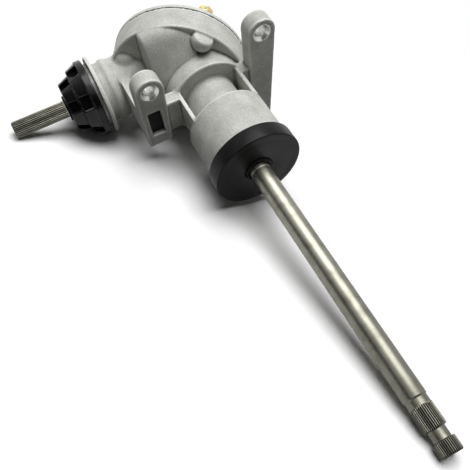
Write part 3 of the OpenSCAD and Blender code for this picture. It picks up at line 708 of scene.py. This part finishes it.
def cover_field(p):
    """Plate and dished cap on the cover axis, hollow inside, with spot faces for the washers."""
    height, up, side = on_cover(p)
    out, mid = np.hypot(up, side + FLANGE_SHIFT), np.hypot(up, side)
    plate = bar(height, out, PLATE_LOW, PLATE_TOP, FLANGE_R, 0.9)
    dish = cone(height, mid, DISH_LOW, DISH_TOP, DISH_FOOT_R, DISH_TOP_R, 2.5)
    d = soft_max(soft_min(plate, dish, 3), -bar(height, mid, -5, HOLLOW_TOP, HOLLOW_R, 2), 0.5)
    for i in range(4):
        a, b = bolt_spot(i)
        off = np.hypot(up - a, side - b)
        spot_face = bar(height, off, PLATE_TOP, 40, SPOT_R, 0.2)
        d = soft_max(soft_max(d, COVER_HOLE - off, 0.3), -spot_face, 0.8)
    return d


cover = carved("dished_cover", cover_field, COVER_BOX, CAST_STEP, "housing", "cast_aluminium")
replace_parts(cover, "cover")

# %% [markdown]
# A black block fills the window of the left lug as painted shade, so the opening shows dark. It is a plain
# block with soft edges, a hair smaller than the window, and set back from the face of the lug.

# %% Black block in the lug window, as painted shade
SHADE_BLOCK_SET, SHADE_BLOCK_T, SHADE_BLOCK_FIT = 4.0, 8.5, 0.05
SHADE_BLOCK_BOX = [-72, -74, -9], [-50, -58, 28]


def shade_block_field(p):
    """Black block in the window of the left lug, standing in for its shade, with a soft front edge."""
    low = np.array([WINDOW_X, -LUG_FACE + SHADE_BLOCK_SET, WINDOW_Z])
    return block(p, low + SHADE_BLOCK_FIT, low + [WINDOW_W - SHADE_BLOCK_FIT, SHADE_BLOCK_T, WINDOW_H - SHADE_BLOCK_FIT], 1.2)


# Painted shade: the black block stands in for the shade seen through the window.
shade_block = carved("window_shade_block", shade_block_field, SHADE_BLOCK_BOX, 0.6, "housing", "black_rubber", 1.0)
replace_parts(shade_block, "lug_pad")

# %% [markdown]
# Hexagon bolts close the cover. A six-sided cylinder would look like a toy. The head here is a surface of two
# parameters: the turn gives the distance to the flats, and a cone cuts the corners off the top, which leaves
# the curved line that every real bolt head has.

# %% Bolts and washers
HEAD_FLAT, HEAD_CORNER, HEAD_FACE, HEAD_CHAMFER = 6.93, 7.75, 6.6, math.radians(30)
WASHER_TOP, WASHER_R, WASHER_HOLE = 7.1, 8.4, 4.4
BOLT_TOP, BOLT_END, SHANK_R, AXIS_R = 13.7, -24.9, 3.95, 0.02


def on_bolt(i, height, radius, turn):
    """Points at a height above the cover joint, round the axis of bolt i."""
    a, b = bolt_spot(i)
    up, side = a + radius * np.cos(turn), b + radius * np.sin(turn)
    x = (height - COVER_DROP) * math.cos(COVER_TURN) + side * math.sin(COVER_TURN)
    y = (height - COVER_DROP) * math.sin(COVER_TURN) - side * math.cos(COVER_TURN)
    return np.stack(np.broadcast_arrays(x, y, up), -1)


def bolt(i):
    """One bolt: rows of (height, radius) per turn, from the end of the shank to the middle of the head."""
    turn = whole_turn(96)
    flats = HEAD_FLAT / np.cos((turn + np.pi / 6) % (np.pi / 3) - np.pi / 6)
    rim = np.minimum(flats, HEAD_CORNER)
    drop = np.maximum(rim - HEAD_FACE, 0) * math.tan(HEAD_CHAMFER)
    rows = [(BOLT_END, AXIS_R), (BOLT_END, 3.2), (BOLT_END + 0.9, SHANK_R), (WASHER_TOP, SHANK_R),
            (WASHER_TOP, 6.5), (WASHER_TOP + 0.3, rim), (BOLT_TOP - drop, rim), (BOLT_TOP, HEAD_FACE),
            (BOLT_TOP - 0.3, 4.5), (BOLT_TOP - 0.3, AXIS_R)]
    height = np.stack([np.broadcast_to(h, turn.shape) for h, _ in rows])
    radius = np.stack([np.broadcast_to(r, turn.shape) for _, r in rows])
    p = on_bolt(i, height, radius, turn[None]).reshape(-1, 3)
    return piece(f"hex_bolt_{i + 1}", p, grid_faces(len(rows), len(turn)), "housing", "yellow_zinc", 25)


def washer(i):
    """Flat washer with eased edges round the axis of bolt i."""
    section = [[PLATE_TOP, WASHER_HOLE], [PLATE_TOP, WASHER_R],
               [WASHER_TOP, WASHER_R], [WASHER_TOP, WASHER_HOLE]]
    s = eased(section, 0.35)
    turn = whole_turn(72)
    p = on_bolt(i, s[:, :1], s[:, 1:], turn[None]).reshape(-1, 3)
    return piece(f"flat_washer_{i + 1}", p, grid_faces(len(s), len(turn)), "housing", "yellow_zinc")


for i in range(4):
    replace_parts(bolt(i), f"cover_bolt_{i + 1}")
    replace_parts(washer(i), f"cover_washer_{i + 1}")

# %% [markdown]
# Now the finishes. Each is one small node tree on Object coordinates, so a pattern keeps its real size in
# metres, where an image would need unwrapping. Values that are the same all over are set on the shader
# itself. The first helpers start a material and give it noise, or a value that a piece's maker kept.


# %% Start of a finish
def finish(name, metallic):
    """A new material, with its node tree, its shader and the Object coordinates."""
    made = bpy.data.materials.new(name)
    made.use_nodes = True
    tree = made.node_tree
    shader = tree.nodes["Principled BSDF"]
    shader.inputs["Metallic"].default_value = metallic
    where = tree.nodes.new("ShaderNodeTexCoord").outputs["Object"]
    return made, tree, shader, where


def noise(tree, where, size, detail=3.0, stretch=(1, 1, 1)):
    """Noise with lumps about size millimetres across, squeezed along an axis by a stretch above 1."""
    mapping = tree.nodes.new("ShaderNodeMapping")
    mapping.inputs["Scale"].default_value = stretch
    tree.links.new(where, mapping.inputs["Vector"])
    made = tree.nodes.new("ShaderNodeTexNoise")
    made.inputs["Scale"].default_value = 1 / (size * MM)
    made.inputs["Detail"].default_value = detail
    tree.links.new(mapping.outputs[0], made.inputs["Vector"])
    return made.outputs["Fac"]


def attribute(tree, name):
    """A value kept on the mesh by its maker."""
    made = tree.nodes.new("ShaderNodeAttribute")
    made.attribute_name = name
    return made.outputs["Fac"]


# %% [markdown]
# The next helpers work on such values: one carries a value from one range to another, one does sums, two turn
# values into colours, and one makes a bump from a height. Real relief is in the mesh. A bump is only for the
# grain that is finer than any grid.


# %% Values, colours and bumps
def spread(tree, value, low, high, to_low=0.0, to_high=1.0):
    """A value carried from one range to another, and held inside it."""
    made = tree.nodes.new("ShaderNodeMapRange")
    for socket, number in zip(("From Min", "From Max", "To Min", "To Max"), (low, high, to_low, to_high)):
        made.inputs[socket].default_value = number
    tree.links.new(value, made.inputs["Value"])
    return made.outputs["Result"]


def maths(tree, kind, a, b):
    """One sum of two values, either of which may be a number."""
    made = tree.nodes.new("ShaderNodeMath")
    made.operation = kind
    for socket, value in zip(made.inputs, (a, b)):
        if isinstance(value, (int, float)):
            socket.default_value = value
        else:
            tree.links.new(value, socket)
    return made.outputs[0]


def ramp(tree, value, *stops):
    """Colours along a value: (place, red, green, blue) for each stop."""
    made = tree.nodes.new("ShaderNodeValToRGB")
    while len(made.color_ramp.elements) < len(stops):
        made.color_ramp.elements.new(0.5)
    for element, (place, *colour) in zip(made.color_ramp.elements, stops):
        element.position = place
        element.color = (*colour, 1)
    tree.links.new(value, made.inputs["Fac"])
    return made.outputs["Color"]


def blend(tree, share, a, b):
    """Colour a turning into colour b as share goes from 0 to 1."""
    made = tree.nodes.new("ShaderNodeMix")
    made.data_type = "RGBA"
    for socket, value in zip((made.inputs[6], made.inputs[7]), (a, b)):
        if isinstance(value, tuple):
            socket.default_value = (*value, 1)
        else:
            tree.links.new(value, socket)
    tree.links.new(share, made.inputs[0])
    return made.outputs[2]


def bumped(tree, shader, height, depth):
    """Height from 0 to 1 as a bump of that depth in millimetres."""
    made = tree.nodes.new("ShaderNodeBump")
    made.inputs["Strength"].default_value = 1.0
    made.inputs["Distance"].default_value = depth * MM
    tree.links.new(height, made.inputs["Height"])
    tree.links.new(made.outputs[0], shader.inputs["Normal"])


# %% [markdown]
# Cast aluminium, shot blasted: light grey, slightly warm, with a fine sandy grain that scatters every
# highlight. Blasted metal mirrors nothing, so it is written as a matt grey and not as a mirror with much
# roughness. Edges are rubbed brighter by handling, and corners are painted darker for dust and as painted
# shade, which the edge attribute drives.

# %% Cast aluminium
GREY_LOW, GREY_HIGH = (0.46, 0.46, 0.43), (0.62, 0.62, 0.585)
RUBBED, CORNER_DUST_AND_SHADE = (0.82, 0.82, 0.785), (0.13, 0.13, 0.115)
DARK_GRAIN, BRIGHT_GRAIN = (0.24, 0.24, 0.22), (0.86, 0.86, 0.82)


def cast_aluminium():
    """Grey metal with patches, specks and a sandy bump, brighter on edges, dust and painted shade in corners.
    """
    made, tree, shader, where = finish("cast_aluminium", 0.0)
    shader.inputs["Specular IOR Level"].default_value = 0.25
    grain = noise(tree, where, 1.7, 5)
    patches = noise(tree, where, 15, 4)
    edge = attribute(tree, "edge")
    base = ramp(tree, patches, (0.3, *GREY_LOW), (0.7, *GREY_HIGH))
    worn = blend(tree, spread(tree, edge, 0.08, 0.35, 0, 0.75), base, RUBBED)
    # Corners: dust and painted shade, a dark colour that stands in for the shade falling into them.
    dusty = blend(tree, spread(tree, edge, -0.06, -0.45, 0, 0.75), worn, CORNER_DUST_AND_SHADE)
    dark = blend(tree, spread(tree, grain, 0.44, 0.3, 0, 0.4), dusty, DARK_GRAIN)
    speck = blend(tree, spread(tree, grain, 0.58, 0.72, 0, 0.5), dark, BRIGHT_GRAIN)
    tree.links.new(speck, shader.inputs["Base Color"])
    tree.links.new(spread(tree, grain, 0.3, 0.7, 0.4, 0.58), shader.inputs["Roughness"])
    bumped(tree, shader, maths(tree, "ADD", grain, maths(tree, "MULTIPLY", patches, 0.5)), 0.35)
    return made


# %% [markdown]
# The shafts are ground steel: fine rings run round them and faint marks lie on top. Toward the outer ends
# the bars are painted darker, as painted shade away from the lamp. The grooves between the serrations are
# painted almost black as painted shade, which the groove attribute tells. Gears, bearings and rings have a
# plainer turned finish.

# %% Steels
# Painted shade: one colour darkens the outer ends of the bars, the other the bottoms of the grooves.
FAR_END_SHADE, GROOVE_SHADE = (0.06, 0.059, 0.046), (0.012, 0.011, 0.009)
RING_SQUEEZE = 40


def ground_steel(name, light, dark, rough, axis, shade_start, shade_end):
    """Ground bar: fine rings from noise squeezed along the axis, faint marks, and painted shade on the outer
    end.
    """
    made, tree, shader, where = finish(name, 1.0)
    stretch = (1, RING_SQUEEZE, 1) if axis == "column" else (RING_SQUEEZE, 1, 1)
    lines = noise(tree, where, 24, 3, stretch)
    marks = noise(tree, where, 9, 6)
    base = ramp(tree, marks, (0.3, *dark), (0.55, *light))
    place = tree.nodes.new("ShaderNodeSeparateXYZ")
    tree.links.new(where, place.inputs[0])
    along = place.outputs["Y" if axis == "column" else "X"]
    # Painted shade: darker toward the outer end of the bar, away from the lamp.
    shaded_end = blend(tree, spread(tree, along, shade_start, shade_end, 0, 0.6), base, FAR_END_SHADE)
    # Painted shade: the bottoms of the serration grooves are painted nearly black.
    groove = spread(tree, attribute(tree, "groove"), 0.05, 0.6, 0, 0.95)
    tree.links.new(blend(tree, groove, shaded_end, GROOVE_SHADE), shader.inputs["Base Color"])
    tree.links.new(spread(tree, lines, 0.3, 0.7, rough - 0.06, rough + 0.08), shader.inputs["Roughness"])
    bumped(tree, shader, lines, 0.015)
    return made


def machined_metal(name, light, dark, rough):
    """Turned or polished metal: soft oil stains over a fine tooling grain."""
    made, tree, shader, where = finish(name, 1.0)
    stain = noise(tree, where, 6, 4)
    grain = noise(tree, where, 0.5, 2)
    tree.links.new(ramp(tree, stain, (0.35, *dark), (0.65, *light)), shader.inputs["Base Color"])
    tree.links.new(spread(tree, stain, 0.3, 0.7, rough + 0.1, rough - 0.05), shader.inputs["Roughness"])
    bumped(tree, shader, grain, 0.015)
    return made


# %% [markdown]
# The bolts are plated with yellow zinc, a thin film whose colour drifts as on an oil stain. A ramp over
# broad noise gives that drift without any view-dependent node, so that it can be baked. Rubber and plastic
# share one recipe: nearly black, with a little dust and a moulded grain, and they differ in shine.


# %% Zinc, rubber and plastic
def yellow_zinc():
    """Yellow passivated zinc: a thin film whose hue drifts from gold to pink and sea green."""
    made, tree, shader, where = finish("yellow_zinc", 1.0)
    drift = noise(tree, where, 7, 2)
    hue = ramp(tree, drift, (0.32, 0.16, 0.34, 0.32), (0.45, 0.66, 0.55, 0.22), (0.56, 0.74, 0.42, 0.16),
               (0.7, 0.55, 0.36, 0.34))
    tree.links.new(hue, shader.inputs["Base Color"])
    rough = spread(tree, noise(tree, where, 1.2, 3), 0.3, 0.7, 0.24, 0.4)
    tree.links.new(rough, shader.inputs["Roughness"])
    bumped(tree, shader, noise(tree, where, 0.6, 2), 0.02)
    return made


def black_moulding(name, colour, dusty, low, high, grain_size, depth, shine):
    """Black rubber or plastic: a deep base, thin grey dust in patches and a fine moulded grain."""
    made, tree, shader, where = finish(name, 0.0)
    shader.inputs["Specular IOR Level"].default_value = shine
    dust = noise(tree, where, 11, 5)
    grain = noise(tree, where, grain_size, 2)
    tree.links.new(ramp(tree, dust, (0.42, *colour), (0.72, *dusty)), shader.inputs["Base Color"])
    tree.links.new(spread(tree, dust, 0.35, 0.7, low, high), shader.inputs["Roughness"])
    bumped(tree, shader, grain, depth)
    return made


# %% [markdown]
# All finishes are made once, under the names of the record's material slots. Each piece then takes the one of
# its slot, and a solid that is shown as it is takes the one that the record gives it. The lug holes belong to
# the casting's slot, but show bare cut metal.

# %% Dress every piece
BLACK, SOOT, DUST = (0.004, 0.004, 0.0045), (0.008, 0.008, 0.0085), (0.02, 0.02, 0.02)
shafts = {
    "ground_steel": ((0.27, 0.265, 0.222), (0.19, 0.185, 0.15), 0.36, "column", -0.13, -0.39),
    "serrated_steel": ((0.4, 0.39, 0.32), (0.28, 0.27, 0.215), 0.34, "stub", -0.11, -0.2),
}
metals = {
    # The spacer ring's steel is painted dark: painted shade, for the shade it lies in between snout and lock
    # ring.
    "bright_steel": ((0.24, 0.24, 0.23), (0.16, 0.16, 0.15), 0.5),
    "bearing_steel": ((0.55, 0.56, 0.57), (0.42, 0.43, 0.44), 0.18),
    "gear_steel": ((0.36, 0.37, 0.38), (0.22, 0.22, 0.23), 0.34),
    "spring_steel": ((0.20, 0.20, 0.21), (0.11, 0.11, 0.12), 0.38),
    "cage_brass": ((0.66, 0.49, 0.22), (0.50, 0.35, 0.14), 0.28),
    "machined_aluminium": ((0.66, 0.66, 0.64), (0.52, 0.52, 0.5), 0.28),
}
mouldings = {
    "black_rubber": (BLACK, SOOT, 0.3, 0.46, 0.5, 0.03, 0.12),
    "seal_rubber": (BLACK, SOOT, 0.42, 0.6, 0.4, 0.03, 0.08),
    "black_plastic": (BLACK, BLACK, 0.18, 0.28, 0.7, 0.02, 0.25),
    "gasket": (SOOT, DUST, 0.7, 0.85, 0.6, 0.06, 0.2),
}
finishes = {"cast_aluminium": cast_aluminium(), "yellow_zinc": yellow_zinc()}
for recipe, family in ((ground_steel, shafts), (machined_metal, metals), (black_moulding, mouldings)):
    finishes.update({name: recipe(name, *values) for name, values in family.items()})
slot_of = {part["node"]: part["material_slot"] for part in frame["record"]["subparts"]}
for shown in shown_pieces():
    wanted = shown.get("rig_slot") or slot_of[shown["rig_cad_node"]]
    shown.data.materials.clear()
    shown.data.materials.append(finishes[wanted])
for shown in lug_holes:
    shown.data.materials[0] = finishes["machined_aluminium"]

# %% [markdown]
# The gearbox lies on a white table, resting on three points, so the table isn't level with the shaft lines.
# Letting it fall with rigid body physics could find that pose, but slowly and not exactly. The broadest
# facet on the lower side of a hull round all its points gives the resting plane at once.

# %% Resting plane
TABLE_FACING = np.array([-0.29, -0.12, -0.95])
everything = bmesh.new()
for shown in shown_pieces():
    everything.from_mesh(shown.data)
hull = bmesh.ops.convex_hull(everything, input=everything.verts, use_existing_faces=False)
facets = [f for f in hull["geom"] if isinstance(f, bmesh.types.BMFace)]
everything.normal_update()
level = [f for f in facets if np.dot(f.normal, TABLE_FACING) > 0.98]
rest = max(level, key=lambda f: f.calc_area())
table_up, table_at = -np.array(rest.normal), np.array(rest.calc_center_median())
everything.free()
print("table faces", table_up.round(3), "through", table_at.round(3))

# %% [markdown]
# The table is one big square in that plane, with its face turned up.

# %% Table
TABLE_SIZE = 6.0
table = bpy.data.objects.new("table", bpy.data.meshes.new("table"))
bpy.context.scene.collection.objects.link(table)
side_a = np.cross(table_up, [0, 1, 0])
side_a /= np.linalg.norm(side_a)
side_b = np.cross(table_up, side_a)
signs = ((-1, -1), (1, -1), (1, 1), (-1, 1))
corners = [table_at + TABLE_SIZE / 2 * (a * side_a + b * side_b) for a, b in signs]
table.data.from_pydata([c.tolist() for c in corners], [], [(0, 1, 2, 3)])
if np.dot(table.data.polygons[0].normal, table_up) < 0:
    table.data.flip_normals()
print("table", TABLE_SIZE, "m wide")

# %% [markdown]
# A white background must not come from more light on the part. So the table asks each ray where it comes
# from. For the camera, and for reflections, it is white and keeps the shadow. For the light that it throws
# back onto the part, it is dark grey, so that undersides stay dark. Farther out it turns into a glow of
# strength 1, so that its edge can't be told from the room. From below it lets the view through.

# %% White for the camera
BOUNCE, GLOW_START, GLOW_END = 0.15, 0.45, 0.8


def shader_node(tree, kind, **values):
    """A shader node of the table or the world with its plain values set."""
    made = tree.nodes.new(kind)
    for socket, value in values.items():
        made.inputs[socket].default_value = value
    return made


def either(tree, share, a, b):
    """Shader a turning into shader b as share goes from 0 to 1."""
    made = tree.nodes.new("ShaderNodeMixShader")
    tree.links.new(share, made.inputs[0])
    tree.links.new(a.outputs[0], made.inputs[1])
    tree.links.new(b.outputs[0], made.inputs[2])
    return made


def seen_share(tree):
    """1 for rays from the camera, from a mirror-like surface or through glass, else 0."""
    rays = tree.nodes.new("ShaderNodeLightPath")
    first = maths(tree, "MAXIMUM", rays.outputs["Is Camera Ray"], rays.outputs["Is Glossy Ray"])
    return maths(tree, "MAXIMUM", first, rays.outputs["Is Transmission Ray"])


def white_table():
    """White to the eye, grey as a source of light, glowing far out and clear from below."""
    made = bpy.data.materials.new("white_table")
    made.use_nodes = True
    tree = made.node_tree
    tree.nodes.clear()
    pale = shader_node(tree, "ShaderNodeBsdfDiffuse", Color=(1, 1, 1, 1))
    grey = shader_node(tree, "ShaderNodeBsdfDiffuse", Color=(BOUNCE, BOUNCE, BOUNCE, 1))
    glow = shader_node(tree, "ShaderNodeEmission", Color=(1, 1, 1, 1))
    clear = shader_node(tree, "ShaderNodeBsdfTransparent")
    away = tree.nodes.new("ShaderNodeVectorMath")
    away.operation = "DISTANCE"
    away.inputs[1].default_value = table_at
    tree.links.new(tree.nodes.new("ShaderNodeTexCoord").outputs["Object"], away.inputs[0])
    far = spread(tree, away.outputs["Value"], GLOW_START, GLOW_END)
    top = either(tree, seen_share(tree), grey, either(tree, far, pale, glow))
    below = tree.nodes.new("ShaderNodeNewGeometry").outputs["Backfacing"]
    sheet = either(tree, below, top, clear)
    end = tree.nodes.new("ShaderNodeOutputMaterial")
    tree.links.new(sheet.outputs[0], end.inputs["Surface"])
    return made


table.data.materials.append(white_table())
print("table glows from", GLOW_START, "to", GLOW_END, "m out")

# %% [markdown]
# Light comes the way a product photographer sets it: one broad soft lamp hangs above the table, so that the
# shadow lies close round the part and has a soft rim. Its place is given in directions of the picture, which
# is how one thinks of it behind a camera.

# %% Lamp
PICTURE_RIGHT, PICTURE_UP, TO_CAMERA = CAMERA_TURN[0], -CAMERA_TURN[1], -CAMERA_TURN[2]


def lamp(name, right, up, near, size, power):
    """Square lamp at a place given in picture directions, metres from the crossing point, facing it."""
    made = bpy.data.objects.new(name, bpy.data.lights.new(name, "AREA"))
    place = right * PICTURE_RIGHT + up * PICTURE_UP + near * TO_CAMERA
    made.data.size = size
    made.data.energy = power
    aim = Vector(place).to_track_quat("Z", "Y").to_matrix().to_4x4()
    made.matrix_world = Matrix.Translation(place + crossing) @ aim
    bpy.context.scene.collection.objects.link(made)
    print(name, "hangs", round(float(np.linalg.norm(place)), 2), "m away")


lamp("top_lamp", right=0.4, up=1.85, near=1.78, size=2.2, power=90)

# %% [markdown]
# The room is the world shader. It is white to the eye and in reflections, as the table is, and very dim as a
# source of light, so that the one lamp shapes the casting.

# %% World
ROOM_LIGHT = 0.06
world = bpy.data.worlds.new("white_room")
bpy.context.scene.world = world
world.use_nodes = True
room = world.node_tree
room.nodes.clear()
dim = shader_node(room, "ShaderNodeBackground", Strength=ROOM_LIGHT)
plain = shader_node(room, "ShaderNodeBackground", Color=(1, 1, 1, 1))
choice = either(room, seen_share(room), dim, plain)
room_end = room.nodes.new("ShaderNodeOutputWorld")
room.links.new(choice.outputs[0], room_end.inputs["Surface"])
bpy.context.scene.view_settings.view_transform = "Standard"
print("room lights the part at", ROOM_LIGHT)

# %% [markdown]
# A bright bar looks like metal only if something dark is mirrored in it. Photographers stand black cards
# just outside the picture for that, and so does this cell: one on the left, one behind the camera. They
# can be seen in mirror-like surfaces alone.

# %% Black cards
CARD_LEFT, CARD_RIGHT, CARD_NEAR, CARD_LEAN, CARD_FAR = -0.55, 0.6, -1.1, -0.8, 0.35


def card_paper():
    """Matt, nearly black paper."""
    made = bpy.data.materials.new("black_card")
    made.use_nodes = True
    shader = made.node_tree.nodes["Principled BSDF"]
    shader.inputs["Base Color"].default_value = (0.01, 0.01, 0.01, 1)
    shader.inputs["Roughness"].default_value = 1.0
    return made


def black_card(name, corners, paper):
    """A dark sheet between four corners, in metres, that only reflections can see."""
    made = bpy.data.objects.new(name, bpy.data.meshes.new(name))
    made.data.from_pydata(corners, [], [(0, 1, 2, 3)])
    bpy.context.scene.collection.objects.link(made)
    made.data.materials.append(paper)
    made.visible_camera = False
    made.visible_diffuse = False
    made.visible_shadow = False
    made.visible_transmission = False
    print(name, "from", corners[0], "to", corners[2])


paper = card_paper()
black_card("left_card", [(CARD_LEFT, CARD_NEAR, 0.0), (CARD_LEFT, CARD_FAR, 0.0),
                         (CARD_LEFT, CARD_FAR, 0.6), (CARD_LEFT, CARD_NEAR, 0.6)], paper)
black_card("camera_card", [(CARD_LEFT, CARD_NEAR, 0.1), (CARD_RIGHT, CARD_NEAR, 0.1),
                           (CARD_RIGHT, CARD_LEAN, 1.1), (CARD_LEFT, CARD_LEAN, 1.1)], paper)
